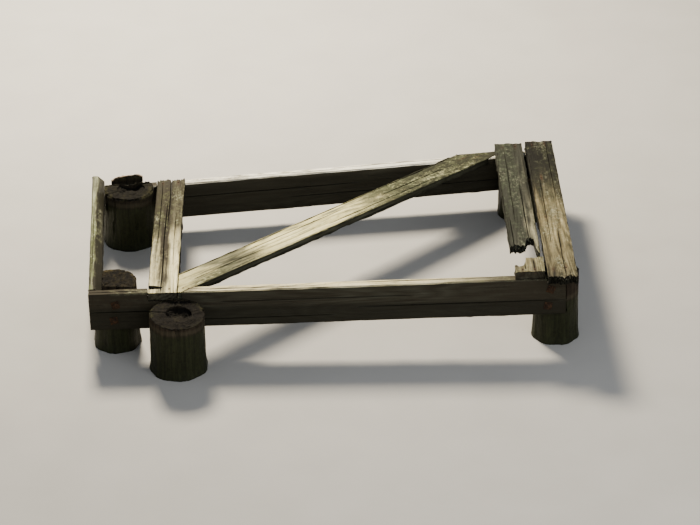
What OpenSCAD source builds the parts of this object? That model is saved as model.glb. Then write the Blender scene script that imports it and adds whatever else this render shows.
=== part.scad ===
// Old timber jetty: two bearers carried by log piles, tied by joists, one cross board and a
// diagonal brace let in flush, with the last deck boards left at the right end.
// Millimetres, +Z up, +X to the right and +Y to the back. Zero is on the bed, under the
// middle of the plan. The frame is built square in its own axes, then set down on the piles
// with the small lean it has settled to.

/* [Settling] */
// height of the front bearer's top over the bed, at its middle
deck_height = 370; // [330:5:600]
// how far the frame has dropped towards the back, in degrees
back_lean = 3.2; // [0:0.1:5]
// how far the frame rises towards the right, in degrees
side_lean = 1.05; // [0:0.05:2]

/* [Bearers] */
// length of the front bearer
bearer_length = 2390; // [1900:10:3200]
// thickness of both bearers, seen from above
bearer_thickness = 65; // [50:1:90]
// depth of both bearers, top to underside
bearer_depth = 200; // [150:5:230]
// distance between the front faces of the two bearers, at the middle
bearer_spacing = 1353; // [1100:5:1700]
// angle of the back bearer to the front one, seen from above
rear_skew = 6.6; // [0:0.1:9]
// worn edge of the sawn timbers
worn_edge = 7; // [3:0.5:12]

/* [End joists] */
// width of an end joist
joist_width = 68; // [60:1:100]
// depth of an end joist
joist_depth = 80; // [60:1:120]
// angle of the left joist to the deck boards, seen from above
joist_skew = 2.4; // [0:0.1:4]
// how far the left joist runs on behind the back bearer
left_tail = 130; // [20:5:220]
// how far the right joist runs on behind the back bearer
right_tail = 12; // [0:1:120]
// edge worn away along the inner top of an end joist
joist_wear = 34; // [5:1:40]

/* [Boards] */
// width of a deck board
board_width = 150; // [120:1:200]
// thickness of a deck board
board_thickness = 45; // [30:1:50]
// worn edge of a board
board_edge = 4; // [2:0.5:8]
// distance from the front bearer's left end to the cross board
cross_inset = 298; // [200:1:420]
// how far the cross board runs on behind the back bearer
cross_tail = 40; // [0:1:90]
// width of the notch broken out of the cross board's left edge
cross_notch_width = 72; // [30:1:90]
// length of that notch along the board
cross_notch_length = 42; // [20:1:70]
// how far the outer deck board overhangs the front bearer's right end
outer_overhang = 55; // [20:1:75]
// gap between the two deck boards
board_gap = 16; // [5:1:30]
// how far the outer deck board runs out in front of the bearer
outer_nose = 92; // [40:1:140]
// how far the deck boards run on behind the back bearer
deck_tail = 28; // [5:1:90]
// how far the stub has turned out of line with its board
stub_shift = 8; // [0:1:12]
// length of the stub left of the inner deck board, at its long side
stub_length = 182; // [140:1:260]
// opening of the break between the stub and the inner deck board
break_gap = 170; // [60:1:220]
// how much nearer to the front the break lies at the left than at the right
break_step = 80; // [20:1:100]
// width of the long splinter left at the right edge of the break
splinter_width = 26; // [12:1:40]

/* [Brace] */
// width of the diagonal brace
brace_width = 165; // [120:1:200]
// thickness of the diagonal brace
brace_thickness = 38; // [25:1:45]
// distance from the cross board's right edge back to the brace's middle, at the front face
brace_lead = 105; // [85:1:125]
// distance from the inner deck board to the brace's middle, over the back bearer
brace_end = 139; // [110:1:200]
// how far the brace and the bearer's back face stay apart at the cut end
brace_tail = 22; // [0:1:40]

/* [Piles] */
// radius of the thinner piles at the head
slim_radius = 116; // [90:1:130]
// radius of the thicker piles at the head
stout_radius = 142; // [115:1:150]
// how much wider a pile is at its sole than at its head
pile_taper = 9; // [0:1:25]
// distance from the bearers' left end to the middle of the front left pile
front_left_inset = 129; // [100:1:180]
// distance from the bearers' right end to the middle of the front right pile
front_right_inset = 37; // [20:1:120]
// distance from the bearers' left end to the middle of the back left pile
rear_left_inset = 151; // [130:1:200]
// distance from the bearers' right end to the middle of the back right pile
rear_right_inset = 103; // [80:1:180]
// how far the front piles stand out in front of the front bearer's face
front_reach = -8; // [-20:1:20]
// distance from the back left pile's middle to the back bearer's front face
rear_left_reach = 48; // [30:1:70]
// distance from the back right pile's middle to the back bearer's front face
rear_right_reach = 72; // [60:1:100]
// how deep the front bearer is let into the outer stump
stump_seat = 14; // [4:1:30]
// how far the heads of the back left and right piles and the outer stump lie below deck_height
rear_left_drop = 50; // [40:1:110]
rear_right_drop = 62; // [50:1:110]
stump_drop = 50; // [40:1:130]
// how far the head of the front left pile stands over deck_height
front_left_rise = 8; // [-30:1:40]
// slope of a worn pile head, in degrees
head_slope = 6; // [0:0.5:10]
// how far the horn behind the back bearer stands over its pile's head
horn_rise = 14; // [5:1:60]
// depth of the drying cracks into a pile
check_depth = 62; // [20:1:80]
// width of a drying crack at the bark
check_width = 7; // [3:0.5:12]
// clearance all round a timber in its seat
seat_gap = 0.3; // [0.1:0.05:0.6]

/* [Hidden] */
$fn = 64;

wet = [0.23, 0.23, 0.18];
moss = [0.47, 0.49, 0.31];
pale = [0.60, 0.57, 0.44];

// shift that brings the middle of the plan over zero
middle = [14.05, 646.6];
far = 4000;
bearer_half = bearer_length / 2;
skew_slope = tan(rear_skew);
thickness_along = bearer_thickness / cos(rear_skew);

// edges of the boards, from the middle of the front bearer
cross_left = cross_inset - bearer_half;
cross_right = cross_left + board_width;
outer_left = bearer_half + outer_overhang - board_width;
inner_left = outer_left - board_gap - board_width;

// middle line of the brace, and half its width measured along Y
brace_from = cross_right - brace_lead;
brace_to = inner_left - brace_end;
brace_angle = atan2(rear_front(brace_to) + thickness_along / 2, brace_to - brace_from);
brace_reach = brace_width / 2 / cos(brace_angle);

// middles of the piles, from the middle of the front bearer's face
front_pile_y = slim_radius - front_reach;
front_left_x = front_left_inset - bearer_half;
front_right_x = bearer_half - front_right_inset;
rear_left_x = rear_left_inset - bearer_half;
rear_right_x = bearer_half - rear_right_inset;
stump_y = stump_seat - stout_radius;

// front and back face of the back bearer, as a distance from the front bearer's face
function rear_front(x) = bearer_spacing + x * skew_slope;
function rear_back(x) = rear_front(x) + thickness_along;

// depth of one tooth of a ragged end, between nothing and one
function tooth(i, seed) = 0.5 + 0.5 * sin(i * 151 + seed * 67) * cos(i * 83 + seed * 29);

// carries a shape from the frame's own axes to where the frame stands
module settled() {
    translate([-middle[0], -middle[1], deck_height])
        rotate([-back_lean, 0, 0])
            rotate([0, -side_lean, 0])
                children();
}

// carries an upright shape to its place on the bed, named by frame distances
module planted(x, y) {
    translate([x - middle[0], y - middle[1], 0])
        children();
}

// worn cross section of a sawn timber, top at zero
module section(width, depth, left_wear, right_wear) {
    polygon([
        [0, -depth],
        [width, -depth],
        [width, -right_wear],
        [width - right_wear, 0],
        [left_wear, 0],
        [0, -left_wear]
    ]);
}

// timber along +X whose front top edge is the line from zero
module along_x(length, width, depth, wear) {
    rotate([90, 0, 90])
        linear_extrude(length)
            section(width, depth, wear, wear);
}

// timber along +Y whose left top edge is the line from zero
module along_y(length, width, depth, left_wear, right_wear) {
    translate([0, length, 0])
        rotate([90, 0, 0])
            linear_extrude(length)
                section(width, depth, left_wear, right_wear);
}

// plan of a board with a ragged front and back end, from zero to its length
module ragged_plan(length, width, front_rag, back_rag, seed) {
    teeth = 9;
    polygon(concat(
        [for (i = [0 : teeth]) [width * i / teeth, front_rag * tooth(i, seed)]],
        [for (i = [0 : teeth]) [width * (1 - i / teeth), length - back_rag * tooth(i, seed + 5)]]
    ));
}

// board along +Y with ragged ends, top at zero
module board(length, width, thickness, front_rag, back_rag, seed) {
    intersection() {
        along_y(length, width, thickness, board_edge, board_edge);
        translate([0, 0, -thickness - 1])
            linear_extrude(thickness + 2)
                ragged_plan(length, width, front_rag, back_rag, seed);
    }
}

// plain bodies of the timbers in the frame's axes, grown all round by a clearance
module bearer_body(gap) {
    translate([-bearer_half - gap, -gap, -bearer_depth - gap])
        cube([bearer_length + 2 * gap, bearer_thickness + 2 * gap, far]);
}

// carries a shape from the front bearer's place to the back bearer's
module at_rear() {
    translate([0, bearer_spacing, 0])
        rotate([0, 0, rear_skew])
            children();
}

module joist_place(side) {
    mirror([side < 0 ? 1 : 0, 0, 0])
        translate([bearer_half, 0, 0])
            rotate([0, 0, side < 0 ? -joist_skew : 0])
                translate([-joist_width, 0, 0])
                    children();
}

module joist_body(side, gap, rise) {
    joist_place(side)
        translate([-gap, -far / 4, -joist_depth - gap])
            cube([joist_width + 2 * gap, far, joist_depth + gap + rise]);
}

// everything outside the inner face of an end joist
module beyond_joist(side) {
    joist_place(side)
        translate([0, -far / 2, -far / 2])
            cube([far, far, far]);
}

module cross_board_body(gap, rise) {
    translate([cross_left - gap, -far / 4, -board_thickness - gap])
        cube([board_width + 2 * gap, far / 4 + bearer_spacing, board_thickness + gap + rise]);
}

module brace_plan(gap) {
    reach = brace_reach + gap / cos(brace_angle);
    rise = far * tan(brace_angle);
    polygon([
        [brace_from - far, -rise - reach],
        [brace_from + far, rise - reach],
        [brace_from + far, rise + reach],
        [brace_from - far, -rise + reach]
    ]);
}

module brace_body(gap, rise) {
    translate([0, 0, -brace_thickness - gap])
        linear_extrude(brace_thickness + gap + rise)
            intersection() {
                brace_plan(gap);
                translate([cross_right - gap, -far / 4])
                    square([far, far]);
            }
}

// rectangular room above the frame's top, for cutting a log down to it
module above(drop) {
    translate([-far / 2, -far / 2, -drop])
        cube([far, far, far]);
}

// room over a plane through a point on Z, sloping down towards a direction
module over_slope(height, slope, direction) {
    translate([0, 0, height])
        rotate([0, 0, direction])
            rotate([0, slope, 0])
                translate([-far / 2, -far / 2, 0])
                    cube([far, far, far]);
}

// log standing on the bed, with hewn flats at the foot and a worn rim
module log_body(height, radius, seed) {
    foot = radius + pile_taper;
    rim = 16;
    flats = 7;
    difference() {
        union() {
            cylinder(h = height - rim, r1 = foot, r2 = radius);
            translate([0, 0, height - rim])
                cylinder(h = rim, r1 = radius, r2 = radius - rim * 0.7);
        }
        for (i = [0 : flats - 1])
            rotate([0, 0, i * 360 / flats + seed * 31])
                translate([foot - 4 - 3 * tooth(i, seed), -far / 2, -1])
                    cube([far, far, far]);
    }
}

// log whose head has worn to a slope, lowest towards a direction
module worn_log(height, radius, direction, seed) {
    difference() {
        log_body(height, radius, seed);
        over_slope(height - radius * tan(head_slope), head_slope, direction);
    }
}

// what is left standing of a log behind the back bearer, torn to a ridge
module horn(height, radius, reach, seed) {
    fall = atan(horn_rise / radius);
    difference() {
        intersection() {
            log_body(height + horn_rise, radius, seed);
            translate([-far / 2, reach + thickness_along - 2, -1])
                cube([far, far, far]);
        }
        translate([radius / 3, 0, 0]) {
            over_slope(height + horn_rise, -fall, 0);
            over_slope(height + horn_rise, fall * 3, 0);
        }
    }
}

// drying cracks running down from the head of a log, wide at the bark
module checks(height, radius, count, seed) {
    for (i = [0 : count - 1])
        rotate([0, 0, i * 360 / count + 40 * tooth(i, seed) + seed * 23])
            translate([0, 0, height * (0.30 + 0.25 * tooth(i + 3, seed))])
                linear_extrude(far)
                    polygon([
                        [radius + far / 100, check_width],
                        [radius - check_depth * (0.5 + 0.5 * tooth(i, seed + 2)), 0],
                        [radius + far / 100, -check_width]
                    ]);
}

// rotted heart in the top of a log
module heart_rot(height, radius, depth) {
    translate([radius * 0.10, -radius * 0.06, height - depth])
        cylinder(h = depth + 1, r1 = radius * 0.16, r2 = radius * 0.52);
}

module front_bearer() {
    color(wet)
        settled()
            difference() {
                translate([-bearer_half, 0, 0])
                    along_x(bearer_length, bearer_thickness, bearer_depth, worn_edge);
                cross_board_body(seat_gap, far);
                brace_body(seat_gap, far);
            }
}

module rear_bearer() {
    color(wet)
        settled()
            difference() {
                at_rear()
                    translate([-bearer_half, 0, 0])
                        along_x(bearer_length, bearer_thickness, bearer_depth, worn_edge);
                beyond_joist(-1);
                beyond_joist(1);
                translate([0, bearer_spacing / 2, 0])
                    cross_board_body(seat_gap, far);
                brace_body(seat_gap, far);
            }
}

module end_joist(side) {
    tail = side < 0 ? left_tail : right_tail;
    back = rear_back(side * bearer_half) + tail;
    start = bearer_thickness + seat_gap;
    difference() {
        joist_place(side)
            translate([0, -far / 8, 0])
                along_y(far / 8 + back, joist_width, joist_depth, joist_wear, worn_edge);
        translate([-far / 2, start - far, -far / 2])
            cube([far, far, far]);
    }
}

module left_joist() {
    color(moss)
        settled()
            end_joist(-1);
}

module right_joist() {
    color(wet)
        settled()
            end_joist(1);
}

module cross_board() {
    length = rear_back(cross_left) + cross_tail;
    notch_front = bearer_thickness * 0.7;
    color(pale)
        settled()
            difference() {
                translate([cross_left, 0, 0])
                    board(length, board_width, board_thickness, 3, 22, 1);
                translate([cross_left - 1, notch_front, -far / 2])
                    linear_extrude(far)
                        polygon([
                            [0, 0],
                            [cross_notch_width * 0.9, 5],
                            [cross_notch_width, cross_notch_length * 0.45],
                            [cross_notch_width * 0.55, cross_notch_length * 0.8],
                            [0, cross_notch_length]
                        ]);
            }
}

module brace() {
    left = cross_right + seat_gap;
    right = bearer_half;
    color(moss)
        settled()
            intersection() {
                translate([0, 0, -brace_thickness])
                    linear_extrude(brace_thickness)
                        polygon([
                            [left, 0],
                            [right, 0],
                            [right, rear_back(right) + brace_tail],
                            [left, rear_back(left) + brace_tail]
                        ]);
                translate([brace_from, 0, 0])
                    rotate([0, 0, brace_angle - 90])
                        translate([-brace_width / 2, -far / 2, 0])
                            along_y(2 * far, brace_width, brace_thickness, board_edge, board_edge);
            }
}

// plan of what has gone in front of the inner deck board: two torn steps and a splinter
module torn_front() {
    teeth = 8;
    root = board_width - splinter_width;
    polygon(concat(
        [[-1, -1]],
        [for (i = [0 : teeth])
            [-1 + (root + 1) * i / teeth,
             stub_length + break_gap - (i < teeth * 0.7 ? break_step : 0) + 14 * tooth(i, 3)]],
        [[root + 6, stub_length + break_gap * 0.3],
         [board_width - 9, stub_length + 1],
         [board_width + 1, stub_length + 6],
         [board_width + 1, -1]]
    ));
}

// plan of what has gone behind the stub, in two torn steps
module torn_back() {
    teeth = 12;
    polygon(concat(
        [[-1, stub_length + 1]],
        [for (i = [0 : teeth])
            [-1 + (board_width + 2) * i / teeth,
             stub_length - (i < teeth * 0.4 ? break_step : 0) - 12 * tooth(i, 8) * (1 - i / teeth)]],
        [[board_width + 1, stub_length + 1]]
    ));
}

module inner_board() {
    color(moss)
        settled()
            translate([inner_left, 0, board_thickness])
                difference() {
                    board(rear_back(inner_left) + deck_tail, board_width, board_thickness, 0, 14, 4);
                    translate([0, 0, -far / 2])
                        linear_extrude(far)
                            torn_front();
                }
}

module inner_board_stub() {
    color(pale)
        settled()
            translate([inner_left + stub_shift, 0, board_thickness])
                difference() {
                    board(stub_length, board_width, board_thickness, 9, 0, 6);
                    translate([0, 0, -far / 2])
                        linear_extrude(far)
                            torn_back();
                }
}

module outer_board() {
    length = outer_nose + rear_back(outer_left) + deck_tail;
    color(pale)
        settled()
            translate([outer_left, -outer_nose, board_thickness])
                board(length, board_width, board_thickness, 26, 18, 9);
}

// takes the seats of the frame's timbers out of a log
module seated(x, y, drop) {
    difference() {
        planted(x, y)
            children();
        settled() {
            above(drop);
            bearer_body(seat_gap);
            at_rear() bearer_body(seat_gap);
            joist_body(-1, seat_gap, far);
            joist_body(1, seat_gap, far);
            brace_body(seat_gap, far);
        }
    }
}

module front_left_pile() {
    color(wet)
        seated(front_left_x, front_pile_y, -far / 4)
            difference() {
                worn_log(deck_height + front_left_rise, slim_radius, -60, 1);
                checks(deck_height, slim_radius, 4, 1);
            }
}

module front_right_pile() {
    color(wet)
        seated(front_right_x, front_pile_y, 6)
            difference() {
                worn_log(deck_height + 28, slim_radius, 60, 2);
                checks(deck_height, slim_radius, 4, 2);
            }
}

module rear_left_pile() {
    head = deck_height - rear_left_drop;
    color(wet)
        seated(rear_left_x, rear_front(rear_left_x) - rear_left_reach, -far / 4)
            difference() {
                union() {
                    log_body(head, stout_radius, 3);
                    horn(head, stout_radius, rear_left_reach, 3);
                }
                checks(head, stout_radius, 5, 3);
                heart_rot(head, stout_radius, 26);
            }
}

module rear_right_pile() {
    head = deck_height - rear_right_drop;
    color(wet)
        seated(rear_right_x, rear_front(rear_right_x) - rear_right_reach, 4)
            difference() {
                worn_log(head + 8, stout_radius, -110, 4);
                checks(head, stout_radius, 4, 4);
            }
}

module outer_stump() {
    head = deck_height - stump_drop;
    color(wet)
        seated(cross_right, stump_y, -30)
            difference() {
                worn_log(head + 10, stout_radius, -60, 5);
                checks(head, stout_radius, 5, 5);
                heart_rot(head, stout_radius, 30);
            }
}

front_bearer();
rear_bearer();
left_joist();
right_joist();
cross_board();
brace();
inner_board();
inner_board_stub();
outer_board();
front_left_pile();
front_right_pile();
rear_left_pile();
rear_right_pile();
outer_stump();
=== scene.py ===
"""Derelict timber jetty: worn wood, splits, torn ends, rotted piles, nails and coach bolts.

Every timber is worked over from a merged copy of its CAD solid, in axes of its own with the
grain along X, and then goes back to where the solid stands. Lengths are in metres.
"""

import logging
import math
from abc import ABC, abstractmethod
from contextlib import contextmanager
from dataclasses import dataclass
from enum import Enum
from typing import Iterator, Optional, Union

import bmesh
import bpy
import numpy as np
from mathutils import Matrix, Vector


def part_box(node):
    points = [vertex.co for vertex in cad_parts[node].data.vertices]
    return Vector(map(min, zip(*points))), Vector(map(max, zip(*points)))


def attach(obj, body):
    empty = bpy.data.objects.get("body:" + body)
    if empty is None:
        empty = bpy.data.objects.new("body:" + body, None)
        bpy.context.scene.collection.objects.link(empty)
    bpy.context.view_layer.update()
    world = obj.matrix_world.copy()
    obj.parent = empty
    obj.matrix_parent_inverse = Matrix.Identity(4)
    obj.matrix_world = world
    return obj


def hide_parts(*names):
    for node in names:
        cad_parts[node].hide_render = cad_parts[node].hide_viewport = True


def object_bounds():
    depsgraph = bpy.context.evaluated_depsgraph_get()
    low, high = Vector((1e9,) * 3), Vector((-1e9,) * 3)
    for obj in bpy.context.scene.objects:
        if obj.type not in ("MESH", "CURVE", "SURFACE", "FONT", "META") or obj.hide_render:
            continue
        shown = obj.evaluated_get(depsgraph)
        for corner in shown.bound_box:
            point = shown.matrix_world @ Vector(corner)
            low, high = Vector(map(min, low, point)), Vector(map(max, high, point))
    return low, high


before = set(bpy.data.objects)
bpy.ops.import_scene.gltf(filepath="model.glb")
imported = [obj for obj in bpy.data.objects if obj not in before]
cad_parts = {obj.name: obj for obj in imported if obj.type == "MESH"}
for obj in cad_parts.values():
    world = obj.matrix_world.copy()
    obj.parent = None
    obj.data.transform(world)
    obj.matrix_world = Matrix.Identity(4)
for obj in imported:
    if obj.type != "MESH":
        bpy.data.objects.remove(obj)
cad_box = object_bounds()

LOG = logging.getLogger("jetty")
BODY = "root"

# Where the frame's own axes stand, as in the part's source. Leans and skew are in degrees.
DECK_HEIGHT = 0.370
BACK_LEAN = 3.2
SIDE_LEAN = 1.05
PLAN_MIDDLE = (0.01405, 0.6466)
BEARER_HALF = 1.195
BEARER_SPACING = 1.353
REAR_SKEW = 6.6
BOARD_THICKNESS = 0.045
WATER_LINE = 0.268

# How far the weathering goes.
INSIDE = 0.0002
SOLE_HEIGHT = 0.001
MERGED = 1e-5
LINE_REACH = 1e-4
ARRIS_REACH = 0.014
FACE_REACH = 0.012
SPLINTER_REACH = 0.09
LIP_HEIGHT = 0.036
RUST_REACH = (0.030, 0.008, 0.02)
TIMBER_DIGITS = 2
PILE_DIGITS = 1

# What the materials share.
SEED_STEP = (3.1, 1.7, 2.3)
# How dark the painted shade in worn hollows and splits goes.
HOLLOW_SHADE = 0.85
DRY_SHEEN = 0.08
FLOOR_SHEEN = 0.5

Colour = tuple[float, float, float, float]
Triple = tuple[float, float, float]
Amount = Union["Reading", float]
Material = bpy.types.Material
Object = bpy.types.Object


class Slot(Enum):
    """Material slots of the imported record."""

    WET = "wet_timber"
    MOSSY = "mossy_timber"
    PALE = "pale_board"


class Side(Enum):
    """Face of a timber that a split opens on: axis across the face, axis into it, its sign."""

    TOP = (1, 2, 1)
    FRONT = (2, 1, -1)
    BACK = (2, 1, 1)


class Pattern(Enum):
    """Procedural textures that drive the weathering."""

    NOISE = "CLOUDS"
    RINGS = "WOOD"


def unit(values: np.ndarray) -> np.ndarray:
    """Keeps values between zero and one."""
    return np.clip(values, 0.0, 1.0)


def squarely(turned_to: np.ndarray) -> np.ndarray:
    """Weighs how squarely normals face an end: one at it, zero past about 68 degrees."""
    return unit(turned_to * 1.6 - 0.6)


def scattered(seed: int) -> Triple:
    """Returns a place of its own for a seed, far from the others."""
    return (seed * 1.37, seed * -0.71, seed * 0.53)


def linear(code: str) -> Colour:
    """Turns a display colour into the linear one that shaders take.

    Args:
        code: Six hexadecimal digits, red, green and blue.

    Returns:
        Linear red, green, blue and an alpha of one.
    """
    parts = []
    for start in (0, 2, 4):
        value = int(code[start : start + 2], 16) / 255
        parts.append(value / 12.92 if value <= 0.04045 else ((value + 0.055) / 1.055) ** 2.4)
    return (parts[0], parts[1], parts[2], 1.0)


def turned(axis: str, degrees: float) -> Matrix:
    """Returns a turn about an axis."""
    return Matrix.Rotation(math.radians(degrees), 4, axis)


def settled() -> Matrix:
    """Returns the matrix from the frame's own axes to the row frame."""
    corner = Matrix.Translation((-PLAN_MIDDLE[0], -PLAN_MIDDLE[1], DECK_HEIGHT))
    return corner @ turned("X", -BACK_LEAN) @ turned("Y", -SIDE_LEAN)


def grain_axes(x: float, y: float, heading: float) -> Matrix:
    """Gives the axes of a timber, from where its grain starts in the frame and its heading."""
    return settled() @ Matrix.Translation((x, y, 0.0)) @ turned("Z", heading)


def nail_places() -> list[Triple]:
    """Lists where nails stand in the frame.

    Returns:
        For each nail its place along the frame, its place back from the face, and its height.
    """
    slope = math.tan(math.radians(REAR_SKEW))
    rear = [(x, BEARER_SPACING + x * slope + 0.034)
            for x in (-0.865, -0.782, 0.760, 0.828, 0.975, 1.045, 1.137, 1.205)]
    flush = [(-0.789, 0.043), (-0.719, 0.047), (-0.691, 0.040), *rear[:4]]
    decked = [(0.980, 0.034), (1.040, 0.030), (1.132, 0.024), (1.196, 0.038), *rear[4:],
              (1.140, 0.62), (1.155, 1.10)]
    return [(*place, 0.0) for place in flush] + [(*place, BOARD_THICKNESS) for place in decked]


def in_scene(name: str, data: Optional[bpy.types.ID]) -> Object:
    """Puts a new object into the scene.

    Args:
        name: Its name.
        data: Its mesh, light or camera, or nothing for an empty.

    Returns:
        The object.
    """
    made = bpy.data.objects.new(name, data)
    bpy.context.scene.collection.objects.link(made)
    return made


class Work:
    """A mesh object on the bench, and what Blender's operators do to it there."""

    def __init__(self, piece: Object) -> None:
        """Takes an object that stands at the origin."""
        self.piece = piece

    def take(self) -> None:
        """Leaves only this piece selected and active."""
        bpy.ops.object.select_all(action="DESELECT")
        self.piece.select_set(True)
        bpy.context.view_layer.objects.active = self.piece

    @contextmanager
    def editing(self, mode: str = "VERT", action: str = "SELECT") -> Iterator[None]:
        """Opens the piece in edit mode and closes it again.

        Args:
            mode: What is picked there: VERT, EDGE or FACE.
            action: SELECT to start with everything selected, DESELECT with nothing.
        """
        self.take()
        bpy.ops.object.mode_set(mode="EDIT")
        bpy.ops.mesh.select_mode(type=mode)
        bpy.ops.mesh.select_all(action=action)
        yield
        bpy.ops.object.mode_set(mode="OBJECT")

    def rows(self, what: str) -> np.ndarray:
        """Reads three numbers from every vertex.

        Args:
            what: Blender's name for them, co or normal.

        Returns:
            A row for each vertex.
        """
        vertices = self.piece.data.vertices
        flat = np.empty(len(vertices) * 3)
        vertices.foreach_get(what, flat)
        return flat.reshape(-1, 3)

    def points(self) -> np.ndarray:
        """Reads where the vertices are."""
        return self.rows("co")

    def normals(self) -> np.ndarray:
        """Reads which way the surface faces at the vertices."""
        return self.rows("normal")

    def put(self, points: np.ndarray) -> None:
        """Moves the vertices to new places."""
        self.piece.data.vertices.foreach_set("co", points.ravel())
        self.piece.data.update()

    def place(self, matrix: Matrix) -> None:
        """Moves the mesh by a matrix and keeps the object at the origin.

        Args:
            matrix: Where the mesh goes.
        """
        self.take()
        self.piece.matrix_world = matrix
        bpy.ops.object.transform_apply(location=True, rotation=True, scale=True)

    def hold_inside(self) -> None:
        """Brings back whatever stands out of the CAD model's box."""
        low, high = (np.array(corner) for corner in cad_box)
        self.put(np.clip(self.points(), low + (INSIDE, INSIDE, 0.0), high - INSIDE))

    def modify(self, kind: str, **settings: object) -> None:
        """Adds a modifier and applies it.

        Args:
            kind: Blender's name for it.
            settings: Values for its properties.
        """
        self.take()
        modifier = self.piece.modifiers.new(kind.lower(), kind)
        for name, value in settings.items():
            setattr(modifier, name, value)
        bpy.context.view_layer.update()
        bpy.ops.object.modifier_apply(modifier=modifier.name)

    def weigh(self, name: str, weights: np.ndarray, digits: int) -> None:
        """Adds a vertex group with the weights above zero.

        Args:
            name: The group's name.
            weights: A weight for each vertex.
            digits: Decimals that the weights keep.
        """
        group = self.piece.vertex_groups.new(name=name)
        levels = np.round(weights, digits)
        for level in np.unique(levels[levels > 0]):
            group.add(np.flatnonzero(levels == level).tolist(), float(level), "REPLACE")

    def sink(self, group: str, direction: str, distance: float) -> None:
        """Moves a vertex group along an axis or the normals, each vertex by its weight."""
        self.modify("DISPLACE", vertex_group=group, direction=direction, mid_level=0.0,
                    strength=distance)

    def mark(self, name: str, values: np.ndarray) -> None:
        """Gives each vertex a number for the material to read."""
        made = self.piece.data.attributes.new(name, "FLOAT", "POINT")
        made.data.foreach_set("value", values.astype(np.float32))

    def bevel(self, turn: float, offset: float, segments: int) -> None:
        """Rounds the edges that turn more than some degrees.

        Args:
            turn: Those degrees.
            offset: How far the rounding reaches from the edge.
            segments: Facets across it.
        """
        with self.editing("EDGE", "DESELECT"):
            bpy.ops.mesh.edges_select_sharp(sharpness=math.radians(turn))
            bpy.ops.mesh.bevel(offset=offset, segments=segments, affect="EDGES", clamp_overlap=True)

    def inset_end(self, sign: int, *steps: tuple[float, float]) -> None:
        """Insets the face at the top or the bottom, step by step.

        Args:
            sign: One for the top, minus one for the bottom.
            steps: Width of each inset and how far it rises out of the face.
        """
        for thickness, depth in steps:
            with self.editing("FACE", "DESELECT"):
                faces = bmesh.from_edit_mesh(self.piece.data).faces
                end = max(faces, key=lambda face: face.calc_center_median().z * sign)
                end.select_set(True)
                bpy.ops.mesh.inset(thickness=thickness, depth=depth)

    def shade(self, turn: float) -> None:
        """Shades the piece smooth, apart from edges that turn more than some degrees."""
        self.take()
        bpy.ops.object.shade_smooth_by_angle(angle=math.radians(turn))


@dataclass(frozen=True)
class Wear:
    """One pass of weathering, pressed into a surface by a Displace modifier."""

    depth: float
    grain: Triple
    group: str = ""
    direction: str = "NORMAL"
    middle: float = 1.0
    contrast: float = 1.0
    pattern: Pattern = Pattern.NOISE

    def texture(self) -> bpy.types.Texture:
        """Makes the procedural texture that drives the pass.

        Returns:
            The texture.
        """
        made = bpy.data.textures.new("wear_pattern", self.pattern.value)
        made.contrast = self.contrast
        made.use_clamp = True
        if self.pattern is Pattern.NOISE:
            made.noise_scale = 1.0
            made.noise_depth = 2
        else:
            made.wood_type = "RINGNOISE"
            made.turbulence = 9.0
            made.noise_scale = 1.6
        return made

    def press(self, work: Work, start: Triple) -> None:
        """Presses the pass into a piece.

        Args:
            work: The piece, in axes with its grain along the pattern's.
            start: Where the pattern starts, so that no two pieces weather alike.
        """
        texture = self.texture()
        anchor = in_scene("wear_anchor", None)
        anchor.location = start
        anchor.scale = self.grain
        work.modify("DISPLACE", texture=texture, texture_coords="OBJECT",
                    texture_coords_object=anchor, direction=self.direction, strength=self.depth,
                    mid_level=self.middle, vertex_group=self.group)
        bpy.data.objects.remove(anchor)
        bpy.data.textures.remove(texture)


@dataclass(frozen=True)
class Split:
    """A lengthwise crack: its face, place across that face, ends along the grain, and size."""

    side: Side
    across: float
    start: float
    end: float
    depth: float
    width: float

    def lines(self) -> Triple:
        """Returns the three cuts that the crack needs across its face."""
        return (self.across - self.width, self.across, self.across + self.width)


def splits(**faces: tuple[tuple[float, ...], ...]) -> tuple[Split, ...]:
    """Makes a timber's splits from the rows of numbers given for each face."""
    return tuple(Split(Side[face], *row) for face, found in faces.items() for row in found)


@dataclass(frozen=True)
class Zone:
    """How much of a top is pale, mossy or dark at one place along or across it. Pale is bleached
    wood and painted sunlight, dark is dirt and painted shadow.
    """

    at: float
    pale: float
    moss: float
    dark: float = 0.0


def zones(*found: tuple[float, ...]) -> tuple[Zone, ...]:
    """Makes a timber's zones from rows of numbers, in order."""
    return tuple(Zone(*row) for row in found)


@dataclass(frozen=True)
class WoodFinish:
    """How one timber has weathered, with painted sunlight and shade in the pale and dark of its
    zones.

    Zones run along it and across it, from zero to one. Up to dark_free_until along it, the dark
    of the zones across it is left off.
    """

    along: tuple[Zone, ...]
    across: tuple[Zone, ...] = zones((0.0, 1.0, 1.0), (1.0, 1.0, 1.0))
    splits: tuple[Split, ...] = ()
    heart: str = "2f2a20"
    fibre: str = "6a6654"
    silver: str = "94907a"
    pale_low: str = "b0a678"
    pale_high: str = "ece2b8"
    moss_low: str = "36381f"
    moss_high: str = "727648"
    # The side colour is painted shade, laid over every face but the top by the side amount.
    side: str = "3c3b30"
    side_shade: float = 0.78
    lichen: float = 0.5
    fleck: str = "c0bfa2"
    wet: str = "1d1c14"
    rust: str = "523826"
    dark_free_until: float = -1.0


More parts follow.
